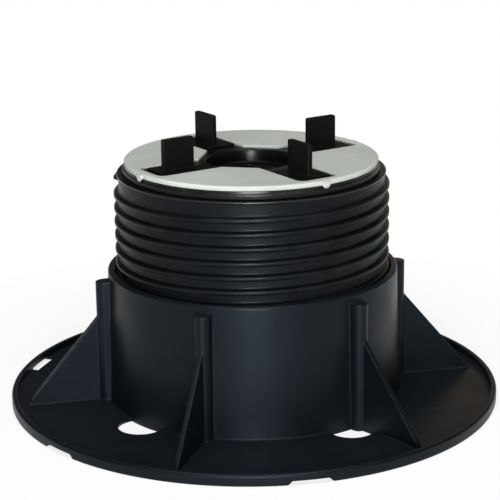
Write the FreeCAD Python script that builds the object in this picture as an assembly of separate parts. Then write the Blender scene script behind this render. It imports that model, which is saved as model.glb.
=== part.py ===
import FreeCAD, Part
import math
import os

# Adjustable deck pedestal: a flanged base with a threaded tower, a hollow screw, and a swivel head
# that carries a soft pad and four spacer tabs. Lengths are in millimetres, angles in degrees.
# The origin is at the centre of the base's underside, +Z is up, and the tabs stand along X and Y.
# The part is drawn wound right up.

# Base flange
BASE_RADIUS = 100.0
PLATE_THICKNESS = 1.5
RIM_WIDTH = 2.2
RIM_HEIGHT = 4.4
RIM_CHAMFER = 0.6

# Tower
TOWER_HEIGHT = 54.5
TOWER_RIM_RADIUS = 58.9
TOWER_DRAFT = 1.3
TOWER_WALL = 2.7
TOWER_FOOT_CHAMFER = 0.4
TOWER_RIM_CHAMFER = 0.5

# Ribs: a half-round column against the tower and a thin gusset down to the flange
RIB_COUNT = 6
RIB_FIRST_ANGLE = 38.5
COLUMN_WIDTH = 6.4
COLUMN_REACH = 5.6
COLUMN_BELOW_RIM = 2.7
COLUMN_TOP_SLOPE = 0.4
GUSSET_THICKNESS = 2.0
GUSSET_BELOW_COLUMN = 15.0
GUSSET_RIM_GAP = 4.2
GUSSET_TOE = 0.6

# Drain cut-outs of the flange
DRAIN_RADIUS = 9.0
DRAIN_CENTRE_OFFSET = 2.0
DRAIN_ANGLES = (-169.0, -86.0)
WINDOW_COUNT = 5
WINDOW_LENGTH = 17.0
WINDOW_WIDTH = 3.0
WINDOW_HEIGHT = 1.5
WINDOW_END_SLOPE = 1.6

# Thread, shared by the screw and the tower
PITCH = 5.62
THREAD_DEPTH = 2.0
THREAD_CREST_WIDTH = 1.3
THREAD_ROOT_WIDTH = 2.6
THREAD_RADIAL_GAP = 0.7
THREAD_FLANK_GAP = 0.5
THREAD_TOP_ANGLE = 147.0
TOWER_THREAD_TURNS = 1.6
TOWER_THREAD_BELOW_RIM = 3.5
RIDGE_SINK = 0.4

# Screw
SCREW_WALL = 3.2
SCREW_LENGTH = 53.2
SCREW_THREAD_BELOW_TOP = 2.8
SCREW_THREAD_ABOVE_END = 3.0
SCREW_BEAD_HEIGHT = 0.8
SCREW_BEAD_PROUD = 0.6
SCREW_END_CHAMFER = 0.8

# Head
PAD_TOP_HEIGHT = 99.3
HEAD_SETBACK = 1.8
HEAD_THICKNESS = 3.8
HEAD_SEAM = 0.2
HEAD_STEP = 0.7
HEAD_STEP_HEIGHT = 1.15
SPIGOT_WALL = 2.2
SPIGOT_DEPTH = 5.6
SPIGOT_GAP = 0.3
HUB_RADIUS = 18.3
HUB_DRAFT = 0.9
HUB_WALL = 1.8
HUB_DEPTH = 5.0
HUB_FLOOR_THICKNESS = 2.0
KEY_HOLE_RADIUS = 9.0
KEY_LUG_COUNT = 6
KEY_LUG_WIDTH = 3.0
KEY_LUG_LENGTH = 2.4
HEAD_RIB_COUNT = 4
HEAD_RIB_THICKNESS = 2.0
HEAD_RIB_DEPTH = 4.0

# Pad
PAD_SETBACK = 0.7
PAD_THICKNESS = 1.3
PAD_LIP_DROP = 0.55
PAD_LIP_WIDTH = 2.4
PAD_LIP_GAP = 0.1
PAD_EDGE_DROP = 0.4
PAD_EDGE_SLOPE = 0.5
PAD_RING_WIDTH = 3.8
CROSS_ARM_WIDTH = 17.5
CROSS_CORNER_ROUND = 3.0
HUB_CLEARANCE = 1.6
LUG_WIDTH = 3.4
LUG_TIP_WIDTH = 1.6
LUG_THICKNESS = 0.7
LUG_DROP = 1.0
LUG_GAP = 0.3

# Spacer tabs
TAB_COUNT = 4
TAB_LENGTH = 13.8
TAB_END_GAP = 6.1
TAB_THICKNESS = 2.0
TAB_STAND = 12.0
TAB_CORNER_ROUND = 0.9
TAB_FOOT_LENGTH = 19.0
TAB_FOOT_GAP = 0.6
TAB_FOOT_THICKNESS = 0.9
TAB_PEG_LENGTH = 8.0
TAB_PEG_GAP = 0.1

# Heights and radii that follow from the sizes above
PAD_SEAT = PAD_TOP_HEIGHT - PAD_THICKNESS
LIP_SEAT = PAD_SEAT - PAD_LIP_DROP
HEAD_BOTTOM = PAD_SEAT - HEAD_THICKNESS
SCREW_TOP = HEAD_BOTTOM - HEAD_SEAM
SCREW_BOTTOM = SCREW_TOP - SCREW_LENGTH
TOWER_BORE_RADIUS = TOWER_RIM_RADIUS - TOWER_WALL
SCREW_CREST_RADIUS = TOWER_BORE_RADIUS - THREAD_RADIAL_GAP
SCREW_ROOT_RADIUS = SCREW_CREST_RADIUS - THREAD_DEPTH
SCREW_BORE_RADIUS = SCREW_ROOT_RADIUS - SCREW_WALL
TOWER_FOOT_RADIUS = TOWER_RIM_RADIUS + TOWER_DRAFT
RIM_INNER_RADIUS = BASE_RADIUS - RIM_WIDTH
COLUMN_TOP = TOWER_HEIGHT - COLUMN_BELOW_RIM
COLUMN_OUTER_RADIUS = TOWER_RIM_RADIUS + COLUMN_REACH
GUSSET_TOP = COLUMN_TOP - GUSSET_BELOW_COLUMN
HEAD_RADIUS = SCREW_ROOT_RADIUS - HEAD_SETBACK
COLLAR_RADIUS = HEAD_RADIUS - HEAD_STEP
PAD_RADIUS = HEAD_RADIUS - PAD_SETBACK
LIP_INNER_RADIUS = PAD_RADIUS - PAD_LIP_WIDTH
CROSS_REACH = PAD_RADIUS - PAD_RING_WIDTH
TAB_INNER_RADIUS = CROSS_REACH - TAB_END_GAP - TAB_LENGTH
TAB_MIDDLE_RADIUS = TAB_INNER_RADIUS + TAB_LENGTH / 2.0
HUB_OUTER_RADIUS = HUB_RADIUS + HUB_WALL
HUB_FLOOR = PAD_SEAT - HUB_DEPTH
HUB_BOTTOM = HUB_FLOOR - HUB_FLOOR_THICKNESS
SCREW_THREAD_TOP = SCREW_TOP - SCREW_THREAD_BELOW_TOP
SCREW_THREAD_BOTTOM = SCREW_BOTTOM + SCREW_THREAD_ABOVE_END
TOWER_THREAD_TOP = TOWER_HEIGHT - TOWER_THREAD_BELOW_RIM

AXIS = FreeCAD.Vector(0, 0, 1)
CENTRE = FreeCAD.Vector(0, 0, 0)
OVERCUT = 1.0


def revolve(profile):
    """Turn a closed outline of (radius, height) points round the Z axis."""
    points = [FreeCAD.Vector(radius, 0, height) for radius, height in profile]
    face = Part.Face(Part.makePolygon(points + points[:1]))
    return face.revolve(CENTRE, AXIS, 360)


def tube(outer, inner, bottom, top):
    """A plain ring between two heights."""
    return revolve([(inner, bottom), (outer, bottom), (outer, top), (inner, top)])


def turned(shape, angle):
    """A copy of a shape turned about the Z axis."""
    copy = shape.copy()
    copy.rotate(CENTRE, AXIS, angle)
    return copy


def around(shape, count, first_angle=0.0):
    """Copies of a shape spaced evenly about the Z axis."""
    return [turned(shape, first_angle + 360.0 * index / count) for index in range(count)]


def block(x_low, x_high, width, bottom, top):
    """A box along +X, centred on the X axis."""
    corner = FreeCAD.Vector(x_low, -width / 2.0, bottom)
    return Part.makeBox(x_high - x_low, width, top - bottom, corner)


def plate_on_edge(outline, thickness):
    """An upright plate on the X axis, from a closed outline of (x, height) points."""
    points = [FreeCAD.Vector(x, -thickness / 2.0, height) for x, height in outline]
    face = Part.Face(Part.makePolygon(points + points[:1]))
    return face.extrude(FreeCAD.Vector(0, thickness, 0))


def bar_along(outline, x_low, x_high):
    """A bar along +X, from a closed outline of (across, height) points."""
    points = [FreeCAD.Vector(x_low, across, height) for across, height in outline]
    face = Part.Face(Part.makePolygon(points + points[:1]))
    return face.extrude(FreeCAD.Vector(x_high - x_low, 0, 0))


def helical_ridge(root_radius, crest_radius, root_width, crest_width, bottom, top, top_angle):
    """A right-hand thread ridge whose middle runs from one height to another."""
    sink = math.copysign(RIDGE_SINK, root_radius - crest_radius)
    slope = (root_width - crest_width) / abs(crest_radius - root_radius)
    sunk_width = root_width + slope * RIDGE_SINK
    section = [
        FreeCAD.Vector(root_radius + sink, 0, -sunk_width / 2.0),
        FreeCAD.Vector(crest_radius, 0, -crest_width / 2.0),
        FreeCAD.Vector(crest_radius, 0, crest_width / 2.0),
        FreeCAD.Vector(root_radius + sink, 0, sunk_width / 2.0),
    ]
    path = Part.Wire(Part.makeHelix(PITCH, top - bottom, root_radius).Edges)
    ridge = path.makePipeShell([Part.makePolygon(section + section[:1])], True, True)
    ridge.translate(FreeCAD.Vector(0, 0, bottom))
    return turned(ridge, top_angle - 360.0 * (top - bottom) / PITCH)


def thread_angle(height):
    """The angle at which the screw's ridge passes a height, at rest."""
    return THREAD_TOP_ANGLE + 360.0 * (height - SCREW_THREAD_TOP) / PITCH


def base_body():
    """Flange, rim and tower as one turned shape, with a thickened foot."""
    return revolve(
        [
            (TOWER_BORE_RADIUS, 0.0),
            (BASE_RADIUS, 0.0),
            (BASE_RADIUS, RIM_HEIGHT - RIM_CHAMFER),
            (BASE_RADIUS - RIM_CHAMFER, RIM_HEIGHT),
            (RIM_INNER_RADIUS, RIM_HEIGHT),
            (RIM_INNER_RADIUS, PLATE_THICKNESS),
            (TOWER_FOOT_RADIUS + TOWER_FOOT_CHAMFER, PLATE_THICKNESS),
            (TOWER_FOOT_RADIUS, PLATE_THICKNESS + TOWER_FOOT_CHAMFER),
            (TOWER_RIM_RADIUS, TOWER_HEIGHT - TOWER_RIM_CHAMFER),
            (TOWER_RIM_RADIUS - TOWER_RIM_CHAMFER, TOWER_HEIGHT),
            (TOWER_BORE_RADIUS, TOWER_HEIGHT),
        ]
    )


def rib():
    """One column and gusset on the +X side, rooted in the tower wall and down through the flange."""
    half_width = COLUMN_WIDTH / 2.0
    root = TOWER_BORE_RADIUS + TOWER_WALL / 2.0
    nose = COLUMN_OUTER_RADIUS - half_width
    column = block(root, nose, COLUMN_WIDTH, 0.0, COLUMN_TOP)
    rounded = Part.makeCylinder(half_width, COLUMN_TOP, FreeCAD.Vector(nose, 0, 0))
    column = column.fuse(rounded)
    slope_top = plate_on_edge(
        [
            (root, COLUMN_TOP),
            (COLUMN_OUTER_RADIUS + OVERCUT, COLUMN_TOP - COLUMN_TOP_SLOPE),
            (COLUMN_OUTER_RADIUS + OVERCUT, COLUMN_TOP + OVERCUT),
            (root, COLUMN_TOP + OVERCUT),
        ],
        COLUMN_WIDTH + OVERCUT,
    )
    gusset_tip = RIM_INNER_RADIUS - GUSSET_RIM_GAP
    toe_top = PLATE_THICKNESS + GUSSET_TOE
    steepness = (GUSSET_TOP - toe_top) / (gusset_tip - COLUMN_OUTER_RADIUS)
    root_top = GUSSET_TOP + steepness * half_width
    gusset = plate_on_edge(
        [(nose, 0.0), (gusset_tip, 0.0), (gusset_tip, toe_top), (nose, root_top)],
        GUSSET_THICKNESS,
    )
    return column.cut(slope_top).fuse(gusset)


def drain_cuts():
    """Round drains beside the tower foot, which stop at the tower's outer wall."""
    centre = FreeCAD.Vector(TOWER_FOOT_RADIUS + DRAIN_CENTRE_OFFSET, 0, -OVERCUT)
    drill = Part.makeCylinder(DRAIN_RADIUS, PLATE_THICKNESS + 2 * OVERCUT, centre)
    wall = Part.makeCylinder(TOWER_FOOT_RADIUS, PLATE_THICKNESS + 4 * OVERCUT, -2 * OVERCUT * AXIS)
    drain = drill.cut(wall)
    angles = [angle + half_turn for angle in DRAIN_ANGLES for half_turn in (0, 180)]
    return [turned(drain, angle) for angle in angles]


def rim_windows():
    """Slots beside the rim, each with a low way out under it, half way between the ribs."""
    slot_inner = RIM_INNER_RADIUS - WINDOW_WIDTH
    slot_top = PLATE_THICKNESS + OVERCUT
    slot = block(slot_inner, BASE_RADIUS, WINDOW_LENGTH, -OVERCUT, slot_top)
    inside_rim = Part.makeCylinder(RIM_INNER_RADIUS, slot_top + 2 * OVERCUT, -2 * OVERCUT * AXIS)
    slot = slot.common(inside_rim)
    half_foot = WINDOW_LENGTH / 2.0
    half_top = half_foot - WINDOW_END_SLOPE
    way_out = bar_along(
        [
            (-half_foot, -OVERCUT),
            (half_foot, -OVERCUT),
            (half_foot, 0.0),
            (half_top, WINDOW_HEIGHT),
            (-half_top, WINDOW_HEIGHT),
            (-half_foot, 0.0),
        ],
        slot_inner,
        BASE_RADIUS + OVERCUT,
    )
    window = slot.fuse(way_out)
    spacing = 360.0 / RIB_COUNT
    first_angle = RIB_FIRST_ANGLE - spacing / 2.0
    return [turned(window, first_angle + spacing * index) for index in range(WINDOW_COUNT)]


def make_base():
    """Base moulding with its ribs, cut-outs and internal thread."""
    base = base_body().cut(drain_cuts() + rim_windows())
    base = base.fuse(around(rib(), RIB_COUNT, RIB_FIRST_ANGLE))
    free_width = PITCH - 2 * THREAD_FLANK_GAP
    thread = helical_ridge(
        TOWER_BORE_RADIUS,
        SCREW_ROOT_RADIUS + THREAD_RADIAL_GAP,
        free_width - THREAD_CREST_WIDTH,
        free_width - THREAD_ROOT_WIDTH,
        TOWER_THREAD_TOP - TOWER_THREAD_TURNS * PITCH,
        TOWER_THREAD_TOP,
        thread_angle(TOWER_THREAD_TOP + PITCH / 2.0),
    )
    return base.fuse(thread).removeSplitter()


def make_screw():
    """Hollow screw with its external thread and a bead round the top."""
    core = revolve(
        [
            (SCREW_BORE_RADIUS, SCREW_BOTTOM),
            (SCREW_ROOT_RADIUS - SCREW_END_CHAMFER, SCREW_BOTTOM),
            (SCREW_ROOT_RADIUS, SCREW_BOTTOM + SCREW_END_CHAMFER),
            (SCREW_ROOT_RADIUS, SCREW_TOP - SCREW_BEAD_HEIGHT),
            (SCREW_ROOT_RADIUS + SCREW_BEAD_PROUD, SCREW_TOP - SCREW_BEAD_HEIGHT),
            (SCREW_ROOT_RADIUS + SCREW_BEAD_PROUD, SCREW_TOP),
            (SCREW_BORE_RADIUS, SCREW_TOP),
        ]
    )
    thread = helical_ridge(
        SCREW_ROOT_RADIUS,
        SCREW_CREST_RADIUS,
        THREAD_ROOT_WIDTH,
        THREAD_CREST_WIDTH,
        SCREW_THREAD_BOTTOM,
        SCREW_THREAD_TOP,
        THREAD_TOP_ANGLE,
    )
    return core.fuse(thread)


def tab_slot(gap):
    """The peg under a spacer tab, or with a gap the slot that takes it."""
    reach = TAB_PEG_LENGTH / 2.0 + gap
    inner = TAB_MIDDLE_RADIUS - reach
    outer = TAB_MIDDLE_RADIUS + reach
    return block(inner, outer, TAB_THICKNESS + 2 * gap, HEAD_BOTTOM, PAD_SEAT)


def make_head():
    """Head disc with a stepped edge, a tapered key socket in the middle, a spigot and ribs below."""
    spigot_outer = SCREW_BORE_RADIUS - SPIGOT_GAP
    spigot_inner = spigot_outer - SPIGOT_WALL
    hub_middle = HUB_RADIUS + HUB_WALL / 2.0
    ledge = LIP_SEAT - HEAD_STEP_HEIGHT
    disc = revolve(
        [
            (hub_middle, HEAD_BOTTOM),
            (HEAD_RADIUS, HEAD_BOTTOM),
            (HEAD_RADIUS, ledge),
            (COLLAR_RADIUS, ledge),
            (COLLAR_RADIUS, LIP_SEAT),
            (LIP_INNER_RADIUS - PAD_LIP_GAP, LIP_SEAT),
            (LIP_INNER_RADIUS - PAD_LIP_GAP, PAD_SEAT),
            (hub_middle, PAD_SEAT),
        ]
    )
    hub = revolve(
        [
            (KEY_HOLE_RADIUS, HUB_BOTTOM),
            (HUB_OUTER_RADIUS, HUB_BOTTOM),
            (HUB_OUTER_RADIUS, PAD_SEAT),
            (HUB_RADIUS, PAD_SEAT),
            (HUB_RADIUS - HUB_DRAFT, HUB_FLOOR),
            (KEY_HOLE_RADIUS, HUB_FLOOR),
        ]
    )
    spigot = tube(spigot_outer, spigot_inner, HEAD_BOTTOM - SPIGOT_DEPTH, HEAD_BOTTOM)
    rib_bar = block(
        hub_middle,
        spigot_inner + SPIGOT_WALL / 2.0,
        HEAD_RIB_THICKNESS,
        HEAD_BOTTOM - HEAD_RIB_DEPTH,
        HEAD_BOTTOM,
    )
    notch = block(
        0.0,
        KEY_HOLE_RADIUS + KEY_LUG_LENGTH,
        KEY_LUG_WIDTH,
        HUB_BOTTOM - OVERCUT,
        HUB_FLOOR + OVERCUT,
    )
    ribs = around(rib_bar, HEAD_RIB_COUNT, 180.0 / HEAD_RIB_COUNT)
    head = disc.fuse([hub, spigot] + ribs)
    head = head.cut(around(notch, KEY_LUG_COUNT))
    return head.cut(around(tab_slot(TAB_PEG_GAP), TAB_COUNT)).removeSplitter()


def cross_cut():
    """The cross-shaped opening of the pad, cut square across between its arms."""
    bottom = PAD_SEAT - OVERCUT
    top = PAD_TOP_HEIGHT + OVERCUT
    bar = block(-CROSS_REACH, CROSS_REACH, CROSS_ARM_WIDTH, bottom, top)
    upright = [edge for edge in bar.Edges if abs(edge.tangentAt(edge.FirstParameter).z) > 0.5]
    bar = bar.makeFillet(CROSS_CORNER_ROUND, upright)
    hub_half = HUB_RADIUS + HUB_CLEARANCE
    hub_square = block(-hub_half, hub_half, 2 * hub_half, bottom, top)
    return bar.fuse([turned(bar, 90), turned(hub_square, 45)])


def lug():
    """A barb on the +X side: a bridge over the pad's edge and a hook that narrows down the collar."""
    inner = COLLAR_RADIUS + LUG_GAP
    bridge_inner = PAD_RADIUS - PAD_LIP_WIDTH / 2.0
    bridge_top = PAD_TOP_HEIGHT - PAD_EDGE_DROP
    bridge = block(bridge_inner, inner + LUG_THICKNESS, LUG_WIDTH, LIP_SEAT, bridge_top)
    half_width = LUG_WIDTH / 2.0
    half_tip = LUG_TIP_WIDTH / 2.0
    tip = LIP_SEAT - LUG_DROP
    outline = [(-half_width, LIP_SEAT), (half_width, LIP_SEAT), (half_tip, tip), (-half_tip, tip)]
    hook = bar_along(outline, inner, inner + LUG_THICKNESS)
    return bridge.fuse(hook)


def make_pad():
    """Soft disc with a lip round the head's edge, the cross opening and four lugs down the collar."""
    disc = revolve(
        [
            (0.0, PAD_SEAT),
            (LIP_INNER_RADIUS, PAD_SEAT),
            (LIP_INNER_RADIUS, LIP_SEAT),
            (PAD_RADIUS, LIP_SEAT),
            (PAD_RADIUS, PAD_TOP_HEIGHT - PAD_EDGE_DROP),
            (PAD_RADIUS - PAD_EDGE_SLOPE, PAD_TOP_HEIGHT),
            (0.0, PAD_TOP_HEIGHT),
        ]
    )
    return disc.cut(cross_cut()).fuse(around(lug(), TAB_COUNT)).removeSplitter()


def make_tab():
    """One spacer tab on the +X side: an upright plate, a thin foot in the cross arm and a peg."""
    top = PAD_TOP_HEIGHT + TAB_STAND
    upright = block(TAB_INNER_RADIUS, TAB_INNER_RADIUS + TAB_LENGTH, TAB_THICKNESS, PAD_SEAT, top)
    top_corners = []
    for edge in upright.Edges:
        box = edge.BoundBox
        if box.ZMin > PAD_TOP_HEIGHT and box.YLength > TAB_THICKNESS / 2.0:
            top_corners.append(edge)
    upright = upright.makeFillet(TAB_CORNER_ROUND, top_corners)
    foot = block(
        TAB_MIDDLE_RADIUS - TAB_FOOT_LENGTH / 2.0,
        TAB_MIDDLE_RADIUS + TAB_FOOT_LENGTH / 2.0,
        CROSS_ARM_WIDTH - 2 * TAB_FOOT_GAP,
        PAD_SEAT,
        PAD_SEAT + TAB_FOOT_THICKNESS,
    )
    return upright.fuse([foot, tab_slot(0.0)]).removeSplitter()


def write_part(name, shape):
    """Write one piece as its own file."""
    shape.exportStep(os.path.join("parts", name + ".step"))


os.makedirs("parts", exist_ok=True)
write_part("base", make_base())
write_part("screw", make_screw())
write_part("head", make_head())
write_part("pad", make_pad())
for number, tab in enumerate(around(make_tab(), TAB_COUNT), start=1):
    write_part("spacer_tab_%d" % number, tab)
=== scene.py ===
import math

import bpy
from mathutils import Matrix, Vector


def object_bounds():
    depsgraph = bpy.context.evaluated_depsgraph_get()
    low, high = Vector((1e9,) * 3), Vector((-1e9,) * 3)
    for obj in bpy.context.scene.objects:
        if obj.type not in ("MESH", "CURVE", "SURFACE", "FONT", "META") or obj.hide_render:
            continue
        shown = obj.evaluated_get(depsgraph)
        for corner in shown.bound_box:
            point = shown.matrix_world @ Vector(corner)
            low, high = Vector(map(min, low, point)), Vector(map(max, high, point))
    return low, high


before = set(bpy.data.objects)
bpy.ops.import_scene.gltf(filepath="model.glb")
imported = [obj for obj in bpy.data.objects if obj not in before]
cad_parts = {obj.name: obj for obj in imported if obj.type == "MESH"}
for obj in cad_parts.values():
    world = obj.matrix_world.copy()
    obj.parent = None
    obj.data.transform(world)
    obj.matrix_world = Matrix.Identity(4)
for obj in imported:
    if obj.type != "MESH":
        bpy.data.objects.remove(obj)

# Looks of an adjustable deck pedestal: moulded black plastic with a soft grey pad on top.
# Lengths are in metres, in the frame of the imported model.

CAD_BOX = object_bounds()
MM = 0.001

# Camera, fitted to the picture (angles in radians)
CAMERA_AZIMUTH = math.radians(-33.24)
CAMERA_PITCH = 0.2809
CAMERA_YAW = -0.0014
CAMERA_ROLL = -0.0134
CAMERA_BACK = 0.660
CAMERA_HEIGHT = 0.2505
SENSOR_WIDTH = 36.0
LENS = 121.36

# Rounded edges of the mouldings
EDGE_RADIUS = {"base": 0.25 * MM, "screw": 0.25 * MM, "head": 0.20 * MM, "pad": 0.15 * MM, "tab": 0.20 * MM}
EDGE_SEGMENTS = 2
EDGE_ANGLE = math.radians(35.0)
WELD_DISTANCE = 0.002 * MM
NORMAL_WEIGHT = 60
TAB_COUNT = 4

# Scales of the noise textures, and the part of each noise that is used
CLOUD_SCALE = 28.0
CLOUD_SPAN = (0.35, 0.75)
SMEAR_SCALE = 75.0
SMEAR_SPAN = (0.3, 0.7)
PATCH_SCALE = 90.0
PATCH_SPAN = (0.42, 0.62)
PAINTED_LIGHT_SCALE = 40.0
PAINTED_LIGHT_SPAN = (0.3, 0.7)
GRAIN_SCALE = 1500.0
GRAIN_STRENGTH = 0.25
GRAIN_DEPTH = 0.03 * MM
PAD_GRAIN_DEPTH = 0.05 * MM

# Smears make the surface a little smoother or rougher
SMEAR_SMOOTHER = 0.05
SMEAR_ROUGHER = 0.06

# Shading along outside edges; an edge is where the rounded normal leans away from the plain one
SOFT_EDGE = 0.7 * MM
PAD_SOFT_EDGE = 1.1 * MM
SOFT_SAMPLES = 8
WORN_EDGE = 1.1 * MM
WORN_SAMPLES = 4
WORN_COSINES = (0.99, 0.90)

# The smooth skin of the mouldings, over a rougher body; rubbed edges shine more
SHEEN_ROUGHNESS = 0.26
RUBBED_SHEEN = 5.0

# The head turns on the bead round the screw's top and polishes its upright side
SCREW_BEAD = 93.1 * MM
RUBBED_BLEND = 0.1 * MM
POLISH = 0.7
UPRIGHT_SPAN = (0.5, 0.9)

# Inside corners hold dust and lose their gloss
CORNER_REACH = 1.6 * MM
CORNER_SAMPLES = 6
OPEN_SPAN = (0.55, 0.9)
CORNER_GLOSS = 0.3
CORNER_ROUGHER = 0.3

# Level surfaces that face up are painted lighter in uneven patches: painted light, standing in for the
# light and reflections they catch
LEVEL_SPAN = (0.95, 0.99)
PAINTED_LIGHT_WEAKEST = 0.6

# The floor is white, and lets the shadow show only near the object
FLOOR_SIZE = 12.0
FLOOR_DROP = 0.1 * MM
FLOOR_GREY = 0.86
SHADOW_RADIUS = 0.11
WHITE_RADIUS = 0.22
SHADOW_WHITE = 0.75

# The surround is white round the horizon and dim above (heights on a unit sphere)
FILL_STRENGTH = 0.06
WHITE_STRENGTH = 1.0
WHITE_UP_TO = 0.04
DIM_FROM = 0.14

# Lamps
LAMP_TARGET = (0.0, 0.0, 0.05)
KEY_DISTANCE = 1.3
NEUTRAL = (1.0, 1.0, 1.0)
WARM = (1.0, 0.70, 0.42)

# Places of the Mix node's sockets by kind: first input, second input, result
MIX_SOCKETS = {"RGBA": (6, 7, 2), "VECTOR": (4, 5, 1)}
WHOLE = (0.0, 1.0)


def opaque(colour):
    """A colour with its alpha."""
    return (*colour, 1.0)


class Nodes:
    """A small helper for building a node tree."""

    def __init__(self, owner):
        owner.use_nodes = True
        self.tree = owner.node_tree
        self.tree.nodes.clear()

    def add(self, kind, **settings):
        """A new node with plain settings on it."""
        node = self.tree.nodes.new(kind)
        for name, value in settings.items():
            setattr(node, name, value)
        return node

    def link(self, source, target):
        self.tree.links.new(source, target)

    def combine(self, operation, first, second, clamp=False):
        """Two shares put together by a sum, a product or the like."""
        node = self.add("ShaderNodeMath", operation=operation, use_clamp=clamp)
        self.link(first, node.inputs[0])
        self.link(second, node.inputs[1])
        return node.outputs[0]

    def ramp(self, source, span, low_value=0.0, high_value=1.0):
        """Map a value from one range to another, held at the ends."""
        node = self.add("ShaderNodeMapRange")
        node.inputs["From Min"].default_value = span[0]
        node.inputs["From Max"].default_value = span[1]
        node.inputs["To Min"].default_value = low_value
        node.inputs["To Max"].default_value = high_value
        self.link(source, node.inputs["Value"])
        return node.outputs["Result"]

    def noise(self, place, scale, detail, roughness=0.55):
        node = self.add("ShaderNodeTexNoise")
        node.inputs["Scale"].default_value = scale
        node.inputs["Detail"].default_value = detail
        node.inputs["Roughness"].default_value = roughness
        self.link(place, node.inputs["Vector"])
        return node.outputs["Fac"]

    def mix(self, share, first, second, kind="RGBA"):
        """A mix of two colours or vectors by a share; a plain colour is set, a socket is linked."""
        node = self.add("ShaderNodeMix", data_type=kind)
        first_place, second_place, result = MIX_SOCKETS[kind]
        self.link(share, node.inputs[0])
        for place, value in ((first_place, first), (second_place, second)):
            if isinstance(value, tuple):
                node.inputs[place].default_value = opaque(value)
            else:
                self.link(value, node.inputs[place])
        return node.outputs[result]

    def rounded_normal(self, radius, samples):
        """The surface's direction with its edges rounded."""
        node = self.add("ShaderNodeBevel", samples=samples)
        node.inputs["Radius"].default_value = radius
        return node.outputs["Normal"]

    def plain_normal(self):
        return self.add("ShaderNodeNewGeometry").outputs["Normal"]

    def height_of(self, vector):
        """The upward part of a place or a direction."""
        node = self.add("ShaderNodeSeparateXYZ")
        self.link(vector, node.inputs[0])
        return node.outputs["Z"]

    def object_place(self):
        return self.add("ShaderNodeTexCoord").outputs["Object"]

    def mixed_shader(self, share, first, second):
        """A mix of two shaders by a share."""
        node = self.add("ShaderNodeMixShader")
        self.link(share, node.inputs[0])
        self.link(first, node.inputs[1])
        self.link(second, node.inputs[2])
        return node.outputs[0]

    def plain_shader(self, kind, colour, strength=None):
        """A shader of one colour, with a strength if it gives light."""
        node = self.add(kind)
        node.inputs["Color"].default_value = opaque(colour)
        if strength is not None:
            node.inputs["Strength"].default_value = strength
        return node.outputs[0]

    def seen_directly(self):
        """One for rays that show the background: from the camera, a reflection or through glass."""
        path = self.add("ShaderNodeLightPath").outputs
        camera_or_glossy = self.combine("ADD", path["Is Camera Ray"], path["Is Glossy Ray"], clamp=True)
        return self.combine("ADD", camera_or_glossy, path["Is Transmission Ray"], clamp=True)

    def finish(self, kind, surface):
        """The output node, which shows a shader on the surface."""
        self.link(surface, self.add(kind).inputs["Surface"])


# Materials
def worn_edges(nodes, place):
    """A share that is high in patches along the edges, where handling has rubbed the surface."""
    along = nodes.add("ShaderNodeVectorMath", operation="DOT_PRODUCT")
    nodes.link(nodes.rounded_normal(WORN_EDGE, WORN_SAMPLES), along.inputs[0])
    nodes.link(nodes.plain_normal(), along.inputs[1])
    edge = nodes.ramp(along.outputs["Value"], WORN_COSINES)
    patches = nodes.ramp(nodes.noise(place, PATCH_SCALE, detail=4.0), PATCH_SPAN)
    return nodes.combine("MULTIPLY", edge, patches, clamp=True)


def openness(nodes):
    """A share that is one on open surfaces and falls to nothing in inside corners."""
    corner = nodes.add("ShaderNodeAmbientOcclusion", samples=CORNER_SAMPLES, only_local=True)
    corner.inputs["Distance"].default_value = CORNER_REACH
    return nodes.ramp(corner.outputs["AO"], OPEN_SPAN)


def soft_corners(nodes, open_share, radius):
    """A normal that is rounded over outside edges and left as it is in inside corners."""
    rounded = nodes.rounded_normal(radius, SOFT_SAMPLES)
    return nodes.mix(open_share, nodes.plain_normal(), rounded, kind="VECTOR")


def polished_band(nodes, place, lowest):
    """A gloss on the upright surfaces above a height."""
    above = nodes.ramp(nodes.height_of(place), (lowest - RUBBED_BLEND, lowest), 0.0, POLISH)
    upright = nodes.ramp(nodes.height_of(nodes.plain_normal()), UPRIGHT_SPAN, 1.0, 0.0)
    return nodes.combine("MULTIPLY", above, upright)


def paint_light_on_level(nodes, place, unpainted_colour, painted_light_colour):
    """A colour painted lighter, in uneven patches, on the level surfaces that face up: painted light."""
    level = nodes.ramp(nodes.height_of(nodes.plain_normal()), LEVEL_SPAN)
    painted_light_share = nodes.ramp(nodes.noise(place, PAINTED_LIGHT_SCALE, detail=4.0), PAINTED_LIGHT_SPAN, PAINTED_LIGHT_WEAKEST, 1.0)
    return nodes.mix(nodes.combine("MULTIPLY", level, painted_light_share), unpainted_colour, painted_light_colour)


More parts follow.
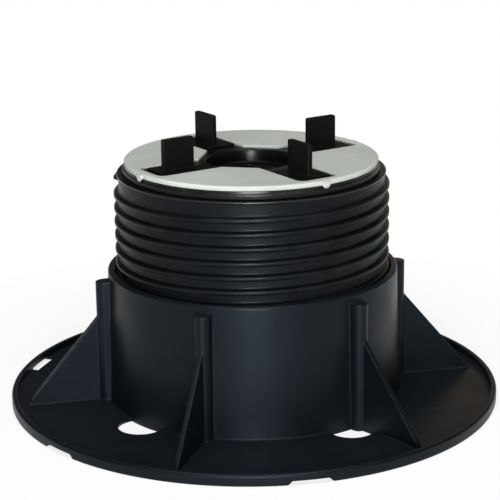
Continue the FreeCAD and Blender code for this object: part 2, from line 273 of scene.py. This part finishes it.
def moulded(name, colour, pale, worn, tint, roughness, specular, sheen,
            grain_depth=GRAIN_DEPTH, soft_edge=SOFT_EDGE, rubbed_above=None, painted_light_colour=None):
    """A moulded material: mottled colour and gloss, worn edges, soft corners and a fine grain.

    Above a given height the surface is rubbed all round, by a part that turns on it.
    """
    material = bpy.data.materials.new(name)
    nodes = Nodes(material)
    place = nodes.object_place()
    open_share = openness(nodes)
    rubbed_share = worn_edges(nodes, place)
    shader = nodes.add("ShaderNodeBsdfPrincipled")
    shader.inputs["Specular IOR Level"].default_value = specular
    shader.inputs["Specular Tint"].default_value = opaque(tint)
    shader.inputs["Coat Roughness"].default_value = SHEEN_ROUGHNESS

    mottle = nodes.mix(nodes.ramp(nodes.noise(place, CLOUD_SCALE, detail=4.0), CLOUD_SPAN), colour, pale)
    # Painted light: the level surfaces that face up get a lighter colour
    if painted_light_colour is not None:
        mottle = paint_light_on_level(nodes, place, mottle, painted_light_colour)
    nodes.link(nodes.mix(rubbed_share, mottle, worn), shader.inputs["Base Color"])

    skin = nodes.combine(
        "MULTIPLY",
        nodes.ramp(open_share, WHOLE, CORNER_GLOSS * sheen, sheen),
        nodes.ramp(rubbed_share, WHOLE, 1.0, RUBBED_SHEEN),
        clamp=True)
    if rubbed_above is not None:
        skin = nodes.combine("MAXIMUM", skin, polished_band(nodes, place, rubbed_above))
    nodes.link(skin, shader.inputs["Coat Weight"])

    smear = nodes.noise(place, SMEAR_SCALE, detail=5.0)
    smeared = nodes.ramp(smear, SMEAR_SPAN, roughness - SMEAR_SMOOTHER, roughness + SMEAR_ROUGHER)
    dulled = nodes.ramp(open_share, WHOLE, CORNER_ROUGHER, 0.0)
    nodes.link(nodes.combine("ADD", smeared, dulled, clamp=True), shader.inputs["Roughness"])

    bump = nodes.add("ShaderNodeBump")
    bump.inputs["Strength"].default_value = GRAIN_STRENGTH
    bump.inputs["Distance"].default_value = grain_depth
    nodes.link(nodes.noise(place, GRAIN_SCALE, detail=2.0), bump.inputs["Height"])
    nodes.link(soft_corners(nodes, open_share, soft_edge), bump.inputs["Normal"])
    nodes.link(bump.outputs["Normal"], shader.inputs["Normal"])
    nodes.link(bump.outputs["Normal"], shader.inputs["Coat Normal"])
    nodes.finish("ShaderNodeOutputMaterial", shader.outputs["BSDF"])
    return material


def dress(node, material, radius):
    """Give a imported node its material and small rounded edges."""
    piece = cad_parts[node]
    piece.data.materials.clear()
    piece.data.materials.append(material)
    piece.data.polygons.foreach_set("use_smooth", [True] * len(piece.data.polygons))
    weld = piece.modifiers.new("weld", "WELD")
    weld.merge_threshold = WELD_DISTANCE
    bevel = piece.modifiers.new("edges", "BEVEL")
    bevel.limit_method = "ANGLE"
    bevel.angle_limit = EDGE_ANGLE
    bevel.width = radius
    bevel.segments = EDGE_SEGMENTS
    bevel.use_clamp_overlap = False
    bevel.loop_slide = False
    normals = piece.modifiers.new("normals", "WEIGHTED_NORMAL")
    normals.mode = "FACE_AREA"
    normals.weight = NORMAL_WEIGHT


# The base's level surfaces that face up get painted light, a lighter colour in uneven patches
base_plastic = moulded(
    "base_plastic",
    colour=(0.0024, 0.0034, 0.0044),
    pale=(0.0036, 0.0048, 0.0060),
    worn=(0.010, 0.012, 0.015),
    tint=(0.58, 0.80, 1.0),
    roughness=0.40,
    specular=0.12,
    sheen=0.06,
    painted_light_colour=(0.0072, 0.0088, 0.0110))
screw_plastic = moulded(
    "screw_plastic",
    colour=(0.0022, 0.0028, 0.0034),
    pale=(0.0034, 0.0040, 0.0046),
    worn=(0.010, 0.011, 0.013),
    tint=(0.74, 0.87, 1.0),
    roughness=0.40,
    specular=0.07,
    sheen=0.09,
    rubbed_above=SCREW_BEAD)
head_plastic = moulded(
    "head_plastic",
    colour=(0.0026, 0.0032, 0.0025),
    pale=(0.0038, 0.0045, 0.0036),
    worn=(0.009, 0.010, 0.008),
    tint=(0.92, 1.0, 0.88),
    roughness=0.38,
    specular=0.04,
    sheen=0.26)
tab_plastic = moulded(
    "tab_plastic",
    colour=(0.0026, 0.0032, 0.0025),
    pale=(0.0038, 0.0045, 0.0036),
    worn=(0.010, 0.011, 0.009),
    tint=(0.92, 1.0, 0.88),
    roughness=0.50,
    specular=0.05,
    sheen=0.0)
pad_rubber = moulded(
    "pad_rubber",
    colour=(0.375, 0.395, 0.365),
    pale=(0.475, 0.495, 0.465),
    worn=(0.47, 0.49, 0.46),
    tint=NEUTRAL,
    roughness=0.70,
    specular=0.16,
    sheen=0.0,
    grain_depth=PAD_GRAIN_DEPTH,
    soft_edge=PAD_SOFT_EDGE)

dress("base", base_plastic, EDGE_RADIUS["base"])
dress("screw", screw_plastic, EDGE_RADIUS["screw"])
dress("head", head_plastic, EDGE_RADIUS["head"])
dress("pad", pad_rubber, EDGE_RADIUS["pad"])
for number in range(1, TAB_COUNT + 1):
    dress("spacer_tab_%d" % number, tab_plastic, EDGE_RADIUS["tab"])


# Floor
def floor_material():
    """A white floor that keeps the object's shadow close to it."""
    material = bpy.data.materials.new("floor_white")
    nodes = Nodes(material)
    distance = nodes.add("ShaderNodeVectorMath", operation="LENGTH")
    nodes.link(nodes.object_place(), distance.inputs[0])
    white = nodes.ramp(distance.outputs["Value"], (SHADOW_RADIUS, WHITE_RADIUS), SHADOW_WHITE, 1.0)
    matt = nodes.plain_shader("ShaderNodeBsdfDiffuse", (FLOOR_GREY, FLOOR_GREY, FLOOR_GREY))
    glow = nodes.plain_shader("ShaderNodeEmission", NEUTRAL, WHITE_STRENGTH)
    share = nodes.combine("MULTIPLY", nodes.seen_directly(), white)
    nodes.finish("ShaderNodeOutputMaterial", nodes.mixed_shader(share, matt, glow))
    return material


bpy.ops.mesh.primitive_plane_add(size=FLOOR_SIZE, location=(0.0, 0.0, CAD_BOX[0].z - FLOOR_DROP))
floor = bpy.context.object
floor.name = "floor"
floor.data.materials.append(floor_material())


# Light
def round_object(angle, distance, height):
    """A place at a turn to the right of the camera's side of the object."""
    turn = CAMERA_AZIMUTH + math.radians(angle)
    return (math.sin(turn) * distance, -math.cos(turn) * distance, height)


def softbox(name, place, width, height, power, colour=NEUTRAL):
    """A rectangular lamp that faces the middle of the object."""
    lamp = bpy.data.lights.new(name, "AREA")
    lamp.shape = "RECTANGLE"
    lamp.size = width
    lamp.size_y = height
    lamp.energy = power
    lamp.color = colour
    box = bpy.data.objects.new(name, lamp)
    box.location = place
    box.rotation_euler = (Vector(LAMP_TARGET) - Vector(place)).to_track_quat("-Z", "Y").to_euler()
    box.visible_camera = False
    bpy.context.scene.collection.objects.link(box)


softbox("low_key", round_object(0.0, KEY_DISTANCE, 0.13), width=0.42, height=0.22, power=15.0)
softbox("high_key", round_object(0.0, KEY_DISTANCE, 0.28), width=0.30, height=0.18, power=6.5)
softbox("top_light", round_object(0.0, 0.30, 1.2), width=1.0, height=1.0, power=15.2)
softbox("warm_card", round_object(164.0, 1.35, 0.45), width=0.60, height=0.40, power=0.34, colour=WARM)

world = bpy.data.worlds.new("studio")
bpy.context.scene.world = world
sky = Nodes(world)
direction = sky.add("ShaderNodeTexCoord").outputs["Generated"]
white_share = sky.ramp(sky.height_of(direction), (WHITE_UP_TO, DIM_FROM), 1.0, 0.0)
shown = sky.combine("MULTIPLY", white_share, sky.seen_directly())
fill = sky.plain_shader("ShaderNodeBackground", NEUTRAL, FILL_STRENGTH)
white = sky.plain_shader("ShaderNodeBackground", NEUTRAL, WHITE_STRENGTH)
sky.finish("ShaderNodeOutputWorld", sky.mixed_shader(shown, fill, white))

# Camera
camera_data = bpy.data.cameras.new("camera")
camera_data.sensor_width = SENSOR_WIDTH
camera_data.lens = LENS
camera = bpy.data.objects.new("camera", camera_data)
camera.matrix_world = (
    Matrix.Translation(round_object(0.0, CAMERA_BACK, CAMERA_HEIGHT))
    @ Matrix.Rotation(CAMERA_AZIMUTH - CAMERA_YAW, 4, "Z")
    @ Matrix.Rotation(math.pi / 2.0 - CAMERA_PITCH, 4, "X")
    @ Matrix.Rotation(CAMERA_ROLL, 4, "Z")
)
bpy.context.scene.collection.objects.link(camera)
bpy.context.scene.camera = camera

bpy.context.scene.view_settings.view_transform = "Standard"
